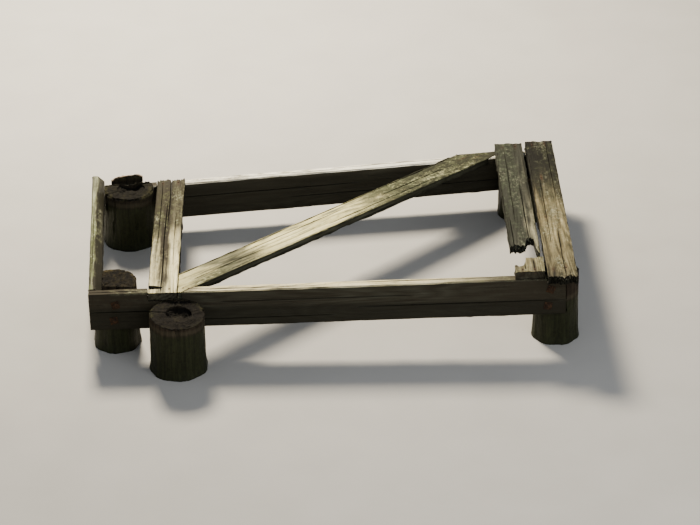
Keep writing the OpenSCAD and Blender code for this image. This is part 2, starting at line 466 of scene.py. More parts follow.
@dataclass(frozen=True)
class LogFinish:
    """How a pile has weathered: its dark flank, rotted head darkened as painted shade, mossy rim,
    slime, painted shade in its hollows, and torn crest with a painted highlight.
    """

    moss: float
    rim: str = "6f7040"
    flank_low: str = "17130e"
    flank_high: str = "3c3328"
    # The head colours are near black: rot, and painted shade.
    head_low: str = "090806"
    head_high: str = "1b1611"
    moss_low: str = "383a1e"
    slime_low: str = "14130c"
    slime: str = "2a2f1a"
    tide: str = "6b6650"
    # Colour of the painted shade in the hollows.
    heart: str = "0e0c08"
    # Colour of the painted highlight on the torn crest, a fresh-wood tone.
    lit: str = "a89c84"
    torn_from: float = 1.0


@dataclass(frozen=True)
class IronFinish:
    """Rusted wrought iron and the crust on it."""

    crust: str = "3b2a1b"
    bloom: str = "614128"
    bare: str = "261c14"


@dataclass(frozen=True)
class Figure:
    """A noise in a surface: its repeats to the metre on each axis, and how broken it is."""

    scale: Triple
    detail: float
    rough: float
    twist: float = 0.0
    shift: float = 0.0


class Reading:
    """What a node of a material gives at each point of a surface."""

    def __init__(self, wiring: "Wiring", socket: bpy.types.NodeSocket) -> None:
        """Keeps the material's wiring and the node's output."""
        self.wiring = wiring
        self.socket = socket

    def __add__(self, other: Amount) -> "Reading":
        """Returns the sum with a reading or a number."""
        return self.wiring.maths("ADD", self, other)

    def __sub__(self, other: Amount) -> "Reading":
        """Returns this less a reading or a number."""
        return self.wiring.maths("SUBTRACT", self, other)

    def __rsub__(self, other: float) -> "Reading":
        """Returns a number less this."""
        return self.wiring.maths("SUBTRACT", other, self)

    def __mul__(self, other: Amount) -> "Reading":
        """Returns the product with a reading or a number."""
        return self.wiring.maths("MULTIPLY", self, other)

    def __truediv__(self, other: float) -> "Reading":
        """Returns this over a number."""
        return self.wiring.maths("DIVIDE", self, other)

    def held(self) -> "Reading":
        """Keeps the sum just made between zero and one."""
        self.socket.node.use_clamp = True
        return self

    def bands(self, count: float) -> "Reading":
        """Folds the reading into rings, so many to one, each with its dark line at zero."""
        return self.wiring.maths("ABSOLUTE", self.wiring.maths("FRACT", self * count) - 0.5)

    def ease(self, low: float, high: float) -> "Reading":
        """Maps the reading smoothly to the range from zero to one.

        Args:
            low: Where the result is zero.
            high: Where it is one, above low or below it.

        Returns:
            The result.
        """
        ends = {"From Min": min(low, high), "From Max": max(low, high),
                "To Min": float(low > high), "To Max": float(high > low)}
        return self.wiring.add("MapRange", {"Value": self, **ends}, interpolation_type="SMOOTHSTEP")

    def parts(self, kind: str = "SeparateXYZ") -> tuple["Reading", ...]:
        """Takes a vector apart, or with SeparateColor a colour, into its three numbers."""
        node = self.wiring.add(kind, {0: self}).socket.node
        return tuple(Reading(self.wiring, output) for output in node.outputs)


class Wiring:
    """A material's nodes while they are being wired, and the colour laid on so far."""

    def __init__(self, name: str, seed: float, axes: Optional[Matrix] = None) -> None:
        """Starts an empty tree.

        Args:
            name: Name of the new material.
            seed: Moves its patterns away from those of other materials.
            axes: From the piece's own axes to the row frame, where its patterns need them.
        """
        self.material = bpy.data.materials.new(name)
        self.material.use_nodes = True
        self.tree = self.material.node_tree
        self.tree.nodes.clear()
        self.shader = self.tree.nodes.new("ShaderNodeBsdfPrincipled")
        self.seed = seed
        self.place = self.stand = self.add("TexCoord", {}, "Object")
        if axes is not None:
            turn = {"Location": axes.to_translation(), "Rotation": axes.to_euler()}
            self.stand = self.add("Mapping", {"Vector": self.place, **turn}, vector_type="TEXTURE")
        self.upward = self.add("NewGeometry", {}, "Normal").parts()[2]
        self.colour: object = None

    def feed(self, socket: bpy.types.NodeSocket, value: object) -> None:
        """Links an input or sets it.

        Args:
            socket: The input.
            value: A reading, a number, a vector or a colour's six digits.
        """
        if isinstance(value, Reading):
            self.tree.links.new(value.socket, socket)
        else:
            socket.default_value = linear(value) if isinstance(value, str) else value

    def add(self, kind: str, inputs: dict, output: Union[int, str] = 0,
            **settings: object) -> Reading:
        """Adds a node.

        Args:
            kind: Blender's name for it, without ShaderNode.
            inputs: What its inputs get, by number or name.
            output: Number or name of the output that is wanted.
            settings: Values for the node's own properties.

        Returns:
            That output.
        """
        node = self.tree.nodes.new("ShaderNode" + kind)
        for name, value in settings.items():
            setattr(node, name, value)
        for key, value in inputs.items():
            self.feed(node.inputs[key], value)
        return Reading(self, node.outputs[output])

    def stretch(self, scale: Triple, shift: float = 0.0) -> Reading:
        """Scales the piece's coordinates on each axis and moves them by its seed and a shift."""
        moved = tuple((self.seed + shift) * step for step in SEED_STEP)
        return self.add("Mapping", {"Vector": self.stand, "Scale": scale, "Location": moved})

    def noise(self, figure: Figure) -> Reading:
        """Adds a noise pattern.

        Args:
            figure: Its repeats and how broken it is.

        Returns:
            The pattern, from zero to one.
        """
        inputs = {"Vector": self.stretch(figure.scale, figure.shift), "Scale": 1.0,
                  "Detail": figure.detail, "Roughness": figure.rough, "Distortion": figure.twist}
        return self.add("TexNoise", inputs)

    def checks(self, scale: Triple) -> Reading:
        """Adds fine drying checks, as the distance to the nearest one."""
        return self.add("TexVoronoi", {"Vector": self.stretch(scale), "Scale": 1.0},
                        feature="DISTANCE_TO_EDGE")

    def attribute(self, name: str) -> Reading:
        """Reads a number that the mesh carries at each vertex."""
        return self.add("Attribute", {}, "Fac", attribute_name=name)

    def maths(self, kind: str, first: Amount, second: Amount = 0.0) -> Reading:
        """Adds one sum, with Blender's name for the operation."""
        return self.add("Math", {0: first, 1: second}, operation=kind)

    def ramp(self, factor: Reading, *stops: tuple[float, object]) -> Reading:
        """Adds a colour ramp.

        Args:
            factor: What runs through the ramp.
            stops: Place and colour of each stop. The first two are the ramp's own.

        Returns:
            The ramp's colour.
        """
        colour = self.add("ValToRGB", {0: factor})
        made = colour.socket.node.color_ramp.elements
        for index, (at, shade) in enumerate(stops):
            stop = made[index] if index < 2 else made.new(at)
            stop.position = at
            stop.color = linear(shade) if isinstance(shade, str) else shade
        return colour

    def amounts(self, share: Reading, found: tuple[Zone, ...]) -> tuple[Reading, ...]:
        """Reads how pale, mossy and dark zones are at a share of a timber's size."""
        stops = [(zone.at, (zone.pale, zone.moss, zone.dark, 1.0)) for zone in found]
        return self.ramp(share, *stops).parts("SeparateColor")

    def coat(self, amount: Amount, colour: object) -> None:
        """Lays a colour over what is there, by an amount from zero to one."""
        layers = {0: amount, 6: self.colour, 7: colour}
        self.colour = self.add("Mix", layers, 2, data_type="RGBA")

    def relief(self, height: Reading, distance: float, strength: float) -> None:
        """Gives the shader a share of a bump with a real depth."""
        bump = {"Height": height, "Distance": distance, "Strength": strength}
        self.feed(self.shader.inputs["Normal"], self.add("Bump", bump))

    def close(self, rough: Amount, sheen: float = DRY_SHEEN) -> Material:
        """Feeds the shader with what was laid on.

        Args:
            rough: Its roughness.
            sheen: Its specular level.

        Returns:
            The material.
        """
        self.feed(self.shader.inputs["Base Color"], self.colour)
        self.feed(self.shader.inputs["Roughness"], rough)
        self.feed(self.shader.inputs["Specular IOR Level"], sheen)
        output = self.tree.nodes.new("ShaderNodeOutputMaterial")
        self.tree.links.new(self.shader.outputs[0], output.inputs[0])
        return self.material


class WoodSkin(Wiring):
    """The wood of one timber, laid on coat by coat."""

    def __init__(self, timber: "Timber", low: list[float], high: list[float]) -> None:
        """Reads the patterns, the top and the zones that the coats share.

        Args:
            timber: The timber that gets the material.
            low: Its lowest corner, in its own axes.
            high: Its highest corner there.
        """
        super().__init__("wood_" + timber.node, float(timber.seed), timber.axes)
        self.finish = timber.finish
        self.streak = self.noise(Figure((1.7, 46.0, 46.0), 5.0, 0.62, 0.2))
        self.fibre = self.noise(Figure((9.0, 360.0, 360.0), 2.0, 0.5))
        self.patch = self.noise(Figure((3.4, 11.0, 11.0), 4.0, 0.62, shift=0.3))
        self.blotch = self.noise(Figure((26.0, 34.0, 34.0), 6.0, 0.72, shift=0.7))
        self.speck = self.noise(Figure((48.0, 66.0, 66.0), 6.0, 0.72, 0.6, shift=0.9))
        self.mottle = self.blotch * 0.55 + self.patch * 0.45
        self.wander = self.patch - 0.5
        ring = self.noise(Figure((0.9, 7.0, 7.0), 1.5, 0.4, shift=0.5)).bands(15.0)
        self.tone = self.streak * 0.55 + self.fibre * 0.30 + ring * 0.30
        check = self.checks((2.4, 60.0, 60.0)).ease(0.045, 0.0) * self.patch.ease(0.42, 0.62)
        self.check = check * (1.0 - self.attribute("end_grain"))

        x, y, z = self.stand.parts()
        near_top = z.ease(high[2] - LIP_HEIGHT, high[2] - LIP_HEIGHT / 2)
        self.top = self.upward.ease(0.30, 0.85) * near_top
        share_x = ((x + self.wander * 0.45 - low[0]) / (high[0] - low[0])).held()
        share_y = ((y + self.wander * 0.05 - low[1]) / (high[1] - low[1])).held()
        along = self.amounts(share_x, self.finish.along)
        across = self.amounts(share_y, self.finish.across)
        dark_across = share_x.ease(self.finish.dark_free_until, self.finish.dark_free_until + 0.14)
        # Pale only on the tops: bleached wood, and painted sunlight where the zones say.
        self.pale = along[0] * across[0] * self.top
        self.moss = along[1] * across[1]
        # Dark: dirt, and painted shadow of reeds and boards.
        self.dark = self.maths("MAXIMUM", along[2], across[2] * dark_across)

    def bleach_and_sunlight(self) -> None:
        """Lays the bare wood, and on the tops pale wood that is bleached wood and painted sunlight.
        """
        finish = self.finish
        self.colour = self.ramp(self.tone, (0.38, finish.heart), (0.72, finish.silver),
                                (0.54, finish.fibre))
        bleached_and_sunlit = self.ramp(self.tone, (0.36, finish.fibre), (0.70, finish.pale_high),
                             (0.48, finish.pale_low))
        reach = self.patch * 0.5 + self.streak * 0.5 + self.pale * 0.45
        self.coat(self.pale * reach.ease(0.52, 0.78), bleached_and_sunlit)

    def grow(self) -> None:
        """Lays the moss, the lichen and the grime between them."""
        finish = self.finish
        spread = (self.mottle + self.moss * 0.26).ease(0.56, 0.72)
        self.moss = (spread * (self.top * 0.75 + 0.25) * self.moss).held()
        green = self.ramp(self.blotch, (0.35, finish.moss_low), (0.72, finish.moss_high))
        self.coat(self.moss, green)
        lichen = (self.speck + self.patch * 0.60).ease(0.84, 1.00)
        self.coat(lichen * self.top * finish.lichen, finish.fleck)
        grime = (1.0 - (self.speck + self.moss * 0.12)).ease(0.52, 0.66)
        self.coat(grime * self.top * (0.60 - self.pale * 0.28), finish.moss_low)

    def darken(self) -> None:
        """Lays painted shade on the sides, the zones' dark, the checks, the rust and painted shade
        in the hollows.
        """
        heart = self.finish.heart
        # Painted shade on every face that is not the top.
        flank = self.ramp(self.tone, (0.36, heart), (0.74, self.finish.side))
        self.coat((1.0 - self.top) * self.finish.side_shade, flank)
        # The zones' dark, mottled: dirt, and painted shadow of reeds and boards.
        self.coat((self.mottle.ease(0.59, 0.47) * 0.60 + 0.40) * self.dark, heart)
        self.coat(self.check * 0.5, heart)
        bled = self.attribute("rust") * self.streak.ease(0.30, 0.62)
        self.coat(bled * 0.65, self.finish.rust)
        # Painted shade in worn hollows and splits.
        self.coat(self.attribute("hollow") * HOLLOW_SHADE, heart)

    def wood(self) -> Material:
        """Lays every coat and soaks the wood below the water line.

        Returns:
            The material.
        """
        self.bleach_and_sunlight()
        self.grow()
        self.darken()
        height = self.place.parts()[2] + self.wander * 0.03
        soaked = height.ease(WATER_LINE + 0.022, WATER_LINE - 0.012)
        self.coat(soaked * 0.7, self.finish.wet)
        grain = self.fibre * 0.35 + self.streak * 0.75 - self.check * 0.9
        self.relief(grain + self.blotch * self.moss * 0.9, 0.0028, 0.75)
        return self.close(0.90 - soaked * 0.36 - self.fibre * 0.12)


class LogSkin(Wiring):
    """The wood of one pile, laid on coat by coat."""

    def __init__(self, pile: "Pile") -> None:
        """Reads the patterns and heights that the coats share.

        Args:
            pile: The pile that gets the material.
        """
        middle = Matrix.Translation((pile.x, pile.y, 0.0))
        super().__init__("log_" + pile.node, float(pile.seed), middle)
        self.pile = pile
        self.finish = pile.finish
        self.streak = self.noise(Figure((58.0, 58.0, 2.6), 5.0, 0.65, 0.3))
        self.fibre = self.noise(Figure((330.0, 330.0, 12.0), 2.0, 0.5))
        self.patch = self.noise(Figure((12.0, 12.0, 8.0), 4.0, 0.65))
        self.blotch = self.noise(Figure((55.0, 55.0, 55.0), 6.0, 0.72))
        self.wander = self.patch - 0.5
        self.tone = self.streak * 0.75 + self.fibre * 0.3
        x, self.back, self.height = self.stand.parts()
        self.out = self.maths("SQRT", x * x + self.back * self.back)
        self.level = self.height + self.wander * 0.03
        self.soaked = self.level.ease(WATER_LINE - 0.004, WATER_LINE - 0.03)

    def flank_and_shaded_head(self) -> None:
        """Lays the flank, and the rotted head with its rings, darkened to near black as painted
        shade.
        """
        finish = self.finish
        ring = (self.out + self.wander * 0.02).bands(150.0)
        self.colour = self.ramp(self.tone, (0.40, finish.flank_low), (0.68, finish.flank_high))
        head = self.ramp(self.blotch * 0.8 + ring * 0.4, (0.36, finish.head_low),
                         (0.72, finish.head_high))
        # Painted shade: faces turned up get the near-black head, darker than the flank.
        self.coat(self.upward.ease(0.25, 0.8), head)

    def grow(self) -> None:
        """Lays the moss, thickest round the rim of the head."""
        radius, head = self.pile.radius, self.pile.head
        rim = (self.out + self.wander * 0.05).ease(radius * 0.72, radius * 0.98)
        growth = (self.blotch * 0.6 + self.patch * 0.4).ease(0.44, 0.60)
        growth = growth * self.height.ease(head - 0.05, head + 0.005) * self.finish.moss
        green = self.ramp(self.blotch, (0.35, self.finish.moss_low), (0.70, self.finish.rim))
        self.coat((growth * (rim * 0.8 + 0.2)).held(), green)

    def soak(self) -> None:
        """Lays the tide line, the slime below it and painted shade in the hollows."""
        finish = self.finish
        band = self.level.ease(WATER_LINE - 0.02, WATER_LINE - 0.004)
        band = band * self.level.ease(WATER_LINE + 0.02, WATER_LINE + 0.004)
        self.coat(band * 0.12, finish.tide)
        slime = self.ramp(self.tone * 0.6 + self.blotch * 0.4, (0.36, finish.slime_low),
                          (0.66, finish.slime))
        self.coat(self.soaked * 0.85, slime)
        # Painted shade in the worn hollows.
        self.coat(self.attribute("hollow") * HOLLOW_SHADE, finish.heart)

    def light_crest(self) -> None:
        """Lays a painted highlight of sunlight, in a fresh-wood tone, on the top of a torn crest
        that stands on behind the bearer.
        """
        finish, head = self.finish, self.pile.head
        crest = self.back.ease(finish.torn_from, finish.torn_from + 0.006)
        crest = crest * self.height.ease(head - 0.050, head - 0.030)
        crest = crest * self.tone.ease(0.34, 0.50) * self.upward.ease(0.1, 0.6)
        sunlit_crest = self.ramp(self.blotch, (0.38, finish.flank_high), (0.62, finish.lit))
        # Painted highlight of sunlight on the crest's upward faces.
        self.coat(crest * 0.9, sunlit_crest)

    def wood(self) -> Material:
        """Lays every coat.

        Returns:
            The material.
        """
        self.flank_and_shaded_head()
        self.grow()
        self.soak()
        self.light_crest()
        self.relief(self.streak * 0.8 + self.fibre * 0.4 + self.blotch * 0.5, 0.004, 0.8)
        return self.close(0.92 - self.soaked * 0.42)


@dataclass
class Worn(ABC):
    """A CAD solid that a worn piece stands for."""

    node: str
    slot: Slot
    seed: int

    @abstractmethod
    def work_over(self, work: Work) -> Material:
        """Shapes the copy of the solid and gives its wood."""

    def build(self) -> Object:
        """Copies the solid, merges its loose triangles and works it over.

        Returns:
            The piece in its place, which stands for its CAD node.
        """
        piece = in_scene("worn_" + self.node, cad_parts[self.node].data.copy())
        piece.data.materials.clear()
        work = Work(piece)
        with work.editing():
            bpy.ops.mesh.customdata_custom_splitnormals_clear()
            bpy.ops.mesh.remove_doubles(threshold=MERGED)
        piece.data.materials.append(self.work_over(work))
        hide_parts(self.node)
        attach(piece, BODY)
        return piece


@dataclass
class Timber(Worn):
    """A sawn timber or board, worked over with its grain along X.

    Steps are the cells of its grid, and hollows to rounding are depths of wear. Edges that
    turn more than sharp degrees are rounded, and more than shading are left crisp. Painted
    shade starts where wear is deeper than hollow_from, and is full hollow_range below that.
    """

    axes: Matrix
    finish: WoodFinish
    steps: Triple = (0.022, 0.004, 0.0055)
    hollows: float = 0.003
    ridges: float = 0.0016
    chips: float = 0.007
    tear: float = 0.008
    splinter: float = 0.024
    cupping: float = 0.006
    rounding: float = 0.0016
    sharp: float = 28.0
    shading: float = 40.0
    hollow_from: float = 0.0015
    hollow_range: float = 0.006
    torn_start: bool = False
    torn_end: bool = False

    def cut_grid(self, work: Work) -> None:
        """Cuts the faces into strips along the grain and across it, and along the splits.

        Args:
            work: The rounded copy, in the timber's own axes.
        """
        co = work.points()
        low, high = co.min(0), co.max(0)
        with work.editing():
            for axis in (2, 1, 0):
                size = high[axis] - low[axis]
                count = max(2, round(size / self.steps[axis]))
                cuts = [low[axis] + size * share / count for share in range(1, count)]
                for split in self.finish.splits:
                    if split.side.value[0] == axis:
                        cuts += split.lines()
                normal = Vector([1.0 if i == axis else 0.0 for i in range(3)])
                for at in cuts:
                    bpy.ops.mesh.select_all(action="SELECT")
                    bpy.ops.mesh.bisect(plane_co=normal * at, plane_no=normal, threshold=MERGED)

    def split_weights(self, co: np.ndarray, side: Side) -> tuple[np.ndarray, float]:
        """Weighs the middle lines of the splits on one face.

        Args:
            co: Vertices in the timber's axes.
            side: The face.

        Returns:
            Shares of the deepest split there, and its depth.
        """
        axis, inward, sign = side.value
        found = [split for split in self.finish.splits if split.side is side]
        deepest = max((split.depth for split in found), default=0.0)
        weights = np.zeros(len(co))
        face = co[:, inward].max() if sign > 0 else co[:, inward].min()
        on_face = np.abs(co[:, inward] - face) < FACE_REACH
        for number, split in enumerate(found):
            along = (co[:, 0] - split.start) / (split.end - split.start)
            on_line = np.abs(co[:, axis] - split.across) < LINE_REACH
            inside = on_face & on_line & (along > 0) & (along < 1)
            share = np.sin(np.pi * unit(along)) ** 0.55
            ripple = 0.8 + 0.2 * np.sin(co[:, 0] * 61.0 + number * 2.1 + self.seed)
            depths = share * ripple * split.depth / deepest
            weights = np.where(inside, np.maximum(weights, depths), weights)
        return weights, deepest

    def tear_weights(self, co: np.ndarray, sign: int) -> np.ndarray:
        """Weighs vertices by how near they are to a broken end, strip by strip.

        Args:
            co: Vertices in the timber's axes.
            sign: Minus one for the end where the grain axes start, one for the other.

        Returns:
            One at the end, falling to zero at SPLINTER_REACH from it.
        """
        strips = np.round((co[:, 1] - co[:, 1].min()) / self.steps[1]).astype(int)
        reach = co[:, 0] * sign
        furthest = np.full(strips.max() + 1, -np.inf)
        np.maximum.at(furthest, strips, reach)
        return unit(1.0 - (furthest[strips] - reach) / SPLINTER_REACH)

    def rust_marks(self, co: np.ndarray) -> np.ndarray:
        """Says how much rust has bled along the grain from the nails.

        Args:
            co: Vertices in the timber's axes.

        Returns:
            One at a nail, fading round it, zero elsewhere.
        """
        turn = self.axes.inverted() @ settled()
        along, across, into = RUST_REACH
        marks = np.zeros(len(co))
        for place in nail_places():
            x, y, z = turn @ Vector(place)
            away = ((co[:, 0] - x) / along) ** 2 + ((co[:, 1] - y) / across) ** 2
            marks = np.maximum(marks, np.exp(-away) * (np.abs(co[:, 2] - z) < into))
        return marks

    def open_splits(self, work: Work) -> np.ndarray:
        """Sinks the middle lines of the splits.

        Args:
            work: The gridded copy, in the timber's own axes.

        Returns:
            For each vertex its share of the deepest split on its face.
        """
        before = work.points()
        deep = np.zeros(len(before))
        for side in Side:
            weights, deepest = self.split_weights(before, side)
            deep = np.maximum(deep, weights)
            if deepest > 0:
                work.weigh(side.name, weights, TIMBER_DIGITS)
                work.sink(side.name, "XYZ"[side.value[1]], -side.value[2] * deepest)
        return deep

    def weather(self, work: Work) -> None:
        """Presses the weathering in, frays the ends and writes how deep each vertex went.

        Args:
            work: The gridded copy, in the timber's own axes.
        """
        co, normals = work.points(), work.normals()
        low, high = co.min(0), co.max(0)
        sideways = np.minimum(co[:, 1] - low[1], high[1] - co[:, 1])
        upright = np.minimum(co[:, 2] - low[2], high[2] - co[:, 2])
        inner = unit(sideways / ((high[1] - low[1]) * 0.3))
        work.weigh("arris", unit(1.0 - np.hypot(sideways, upright) / ARRIS_REACH), TIMBER_DIGITS)
        work.weigh("inner", inner, TIMBER_DIGITS)
        ends = (("start", -1, self.torn_start), ("finish", 1, self.torn_end))
        for name, sign, torn in ends:
            weights = self.tear_weights(co, sign) if torn else squarely(normals[:, 0] * sign)
            work.weigh(name, weights, TIMBER_DIGITS)
        deep = self.open_splits(work)
        opened = work.points()
        place = scattered(self.seed)
        for wear in (
            Wear(self.hollows, (0.30, 0.05, 0.05)),
            Wear(self.ridges, (0.11, 0.009, 0.009), contrast=1.4),
            Wear(self.chips, (0.07, 0.02, 0.02), "arris", contrast=2.2),
            Wear(self.cupping, (0.35, 0.5, 0.5), "inner", "Y", 0.5),
        ):
            wear.press(work, place)
        # How deep each vertex wore or split, for the painted shade in hollows.
        worn = np.linalg.norm(work.points() - opened, axis=1)
        sunk = (worn - self.hollow_from) / self.hollow_range
        work.mark("hollow", unit(np.maximum(deep * 1.6, sunk)))
        work.mark("end_grain", squarely(np.abs(normals[:, 0])))
        work.mark("rust", self.rust_marks(co))
        for name, sign, torn in ends:
            level = max(sign, 0)
            wears = [Wear(self.tear, (0.05, 0.012, 0.010), name, "X", level)]
            if torn:
                wears = [Wear(self.splinter, (2.0, 0.0075, 0.011), name, "X", level, 2.4),
                         Wear(self.splinter * 0.6, (2.0, 0.032, 0.05), name, "X", level)]
            for wear in wears:
                wear.press(work, place)

    def work_over(self, work: Work) -> Material:
        """Works the copy over in the timber's own axes and puts it back.

        Args:
            work: The copy of the solid.

        Returns:
            The timber's wood.
        """
        with work.editing():
            bpy.ops.mesh.dissolve_limited(angle_limit=math.radians(1.0))
        work.place(self.axes.inverted())
        work.bevel(self.sharp, self.rounding, 2)
        self.cut_grid(work)
        co = work.points()
        skin = WoodSkin(self, co.min(0).tolist(), co.max(0).tolist())
        self.weather(work)
        work.place(self.axes)
        work.hold_inside()
        work.shade(self.shading)
        return skin.wood()


@dataclass
class Pile(Worn):
    """A log pile with fluted sides, drying checks and a rotted head.

    Painted shade starts where wear is deeper than hollow_from, and is full hollow_range below that.
    """

    x: float
    y: float
    head: float
    radius: float
    finish: LogFinish
    voxel: float = 0.0042
    checks: int = 4
    check_width: float = 0.0042
    side_check: float = 0.014
    head_check: float = 0.008
    hollow_from: float = 0.010
    hollow_range: float = 0.010

    def check_weights(self, co: np.ndarray) -> np.ndarray:
        """Weighs vertices by how near they are to a drying check that runs out from the heart.

        Args:
            co: Vertices of the log.

        Returns:
            One in the middle of a check, zero beside it and below its foot.
        """
        rng = np.random.default_rng(self.seed)
        away = co[:, :2] - (self.x, self.y)
        out = np.hypot(away[:, 0], away[:, 1])
        bearing = np.arctan2(away[:, 1], away[:, 0])
        weights = np.zeros(len(co))
        for number in range(self.checks):
            middle = 2 * math.pi * (number + rng.uniform(-0.45, 0.45)) / self.checks
            ripple = 0.045 * np.sin(co[:, 2] * rng.uniform(14, 30) + number)
            ripple = ripple + 0.02 * np.sin(co[:, 2] * 75)
            gap = np.abs(np.angle(np.exp(1j * (bearing - middle - ripple)))) * out
            foot = self.head - rng.uniform(0.10, 0.32)
            fade = unit((co[:, 2] - foot) / 0.08) * (out > self.radius * 0.22)
            share = rng.uniform(0.5, 1.0)
            weights = np.maximum(weights, unit(1.15 - gap / self.check_width) * fade * share)
        return weights

    def weather(self, work: Work) -> None:
        """Flutes the sides, opens the checks and rots the head.

        Args:
            work: The remeshed copy.
        """
        co, normals = work.points(), work.normals()
        level = np.hypot(normals[:, 0], normals[:, 1])
        steep = level > 0.5
        flank = np.clip(0.7 / np.maximum(level, 0.1), 0.7, 1.0) * unit((level - 0.2) / 0.3)
        flank *= np.clip(0.25 + co[:, 2] / 0.06, 0.25, 1.0)
        crown = unit((co[:, 2] - self.head + 0.10) / 0.04)
        checks = self.check_weights(co)
        for name, weights in (
            ("flank", flank),
            ("head", unit(normals[:, 2] * 2.0 - 0.9) * crown),
            ("above", unit(co[:, 2] / 0.02)),
            ("side_checks", checks * steep),
            ("head_checks", checks * ~steep * crown),
        ):
            work.weigh(name, weights, PILE_DIGITS)
        work.sink("side_checks", "NORMAL", -self.side_check)
        work.sink("head_checks", "Z", -self.head_check)
        work.modify("SMOOTH", factor=0.5, iterations=3)
        for wear in (
            Wear(0.013, (0.10, 0.10, 0.30), "flank"),
            Wear(0.0055, (0.017, 0.017, 0.16), "flank", contrast=1.3),
            Wear(0.010, (0.06, 0.06, 0.06), "head", "Z", contrast=1.5),
            Wear(0.0045, (0.014, 0.014, 0.014), "head", "Z"),
            Wear(0.0018, (0.008, 0.008, 0.008), "above"),
        ):
            wear.press(work, scattered(self.seed))
        rings = Wear(0.0035, (0.030, 0.030, 100.0), "head", "Z", pattern=Pattern.RINGS)
        rings.press(work, (self.x, self.y, 0.0))
        made = work.points()
        sole = co[:, 2] < SOLE_HEIGHT
        made[sole, 2] = co[sole, 2]
        work.put(made)
        # How deep each vertex wore, for the painted shade in hollows.
        worn = np.linalg.norm(made - co, axis=1)
        work.mark("hollow", unit((worn - self.hollow_from) / self.hollow_range))

    def work_over(self, work: Work) -> Material:
        """Gives the copy an even skin and weathers it.

        Args:
            work: The copy of the solid.

        Returns:
            The pile's wood.
        """
        work.modify("REMESH", mode="VOXEL", voxel_size=self.voxel)
        self.weather(work)
        work.hold_inside()
        work.take()
        bpy.ops.object.shade_smooth()
        return LogSkin(self).wood()


class Assembly(ABC):
    """A group of worn pieces that are made together."""

    @abstractmethod
    def parts(self) -> list[Worn]:
        """Lists the pieces."""

    def build(self) -> list[Object]:
        """Makes every piece of the group in its place."""
        return [part.build() for part in self.parts()]


@dataclass
class Bearers(Assembly):
    """The two long timbers that carry everything."""

    hollows: float = 0.002
    # At both ends of the front bearer the zones' dark is painted shade, at the right end the shadow
    # of the boards.
    front: WoodFinish = WoodFinish(
        along=zones(
            (0.00, 0.05, 0.5, 0.95), (0.20, 0.10, 0.4, 0.8), (0.25, 1.0, 0.05), (0.73, 1.0, 0.05),
            (0.79, 0.5, 0.4, 0.2), (0.86, 0.3, 0.5, 0.6), (0.94, 0.2, 0.4, 0.9),
            (1.00, 0.2, 0.4, 0.9)),
        splits=splits(
            TOP=((0.023, -0.62, -0.05, 0.012, 0.0018), (0.041, 0.08, 0.86, 0.016, 0.0022),
                 (0.030, -1.19, -0.93, 0.020, 0.0030)),
            FRONT=((-0.064, -0.55, 0.42, 0.016, 0.0026), (-0.101, -1.19, -0.66, 0.018, 0.0030),
                   (-0.118, 0.15, 1.19, 0.018, 0.0030), (-0.157, -0.80, 0.05, 0.012, 0.0022)),
            BACK=((-0.088, -0.95, 0.30, 0.014, 0.0026), (-0.142, -0.10, 1.10, 0.014, 0.0026))),
        pale_low="c9bd94", pale_high="f4e9c6", side_shade=0.94)
    rear: WoodFinish = WoodFinish(
        along=zones(
            (0.00, 0.0, 0.2, 1.0), (0.12, 0.1, 0.2, 0.9), (0.19, 1.0, 0.05), (0.75, 1.0, 0.05),
            (1.00, 0.6, 0.5, 0.2)),
        splits=splits(
            TOP=((0.028, -0.70, 0.10, 0.012, 0.0018), (0.044, 0.05, 0.70, 0.012, 0.0018)),
            FRONT=((-0.079, -0.90, 0.20, 0.014, 0.0026), (-0.131, -0.20, 1.00, 0.014, 0.0026)),
            BACK=((-0.093, -0.60, 0.70, 0.014, 0.0026),)),
        pale_low="d6d1c0", pale_high="f6f3e6", fleck="f0ece0", side_shade=0.90)

    def parts(self) -> list[Worn]:
        """Lists both bearers.

        Returns:
            The bearers.
        """
        front, rear = grain_axes(0.0, 0.0, 0.0), grain_axes(0.0, BEARER_SPACING, REAR_SKEW)
        return [
            Timber("front_bearer", Slot.WET, 1, front, self.front, hollows=self.hollows,
                   chips=0.003),
            Timber("rear_bearer", Slot.WET, 2, rear, self.rear, hollows=self.hollows,
                   chips=0.0025),
        ]


@dataclass
class EndJoists(Assembly):
    """The joists that close the two ends of the frame."""

    width: float = 0.068
    skew: float = 2.4
    tear: float = 0.010
    # Across the left joist, the dark of its inner half is painted shade on the side turned from the
    # light.
    left: WoodFinish = WoodFinish(
        along=zones((0.0, 0.55, 0.7, 0.1), (0.5, 0.6, 0.8), (0.85, 0.7, 0.4), (1.0, 0.95, 0.1)),
        across=zones(
            (0.0, 0.1, 0.6, 1.0), (0.50, 0.2, 0.8, 0.95), (0.62, 1.0, 1.0), (1.0, 1.0, 1.0)),
        splits=splits(
            TOP=((0.050, 0.25, 1.05, 0.014, 0.0022),),
            FRONT=((-0.052, 0.10, 0.90, 0.012, 0.0024),),
            BACK=((-0.046, 0.30, 1.25, 0.012, 0.0024),)),
        heart="201e15", silver="6c6c58", pale_low="85886a", pale_high="cdd0ac", moss_high="6f784c")
    right: WoodFinish = WoodFinish(
        along=zones((0.0, 0.2, 0.5, 0.4), (1.0, 0.3, 0.6, 0.3)),
        splits=splits(
            FRONT=((-0.040, 0.30, 1.30, 0.012, 0.0024),),
            BACK=((-0.048, 0.15, 0.95, 0.012, 0.0024),)))

    def parts(self) -> list[Worn]:
        """Lists both end joists.

        Returns:
            The joists.
        """
        left = grain_axes(self.width - BEARER_HALF, 0.0, 90.0 + self.skew)
        right = grain_axes(BEARER_HALF, 0.0, 90.0)
        return [
            Timber("left_joist", Slot.MOSSY, 3, left, self.left, tear=self.tear),
            Timber("right_joist", Slot.WET, 4, right, self.right, tear=self.tear),
        ]


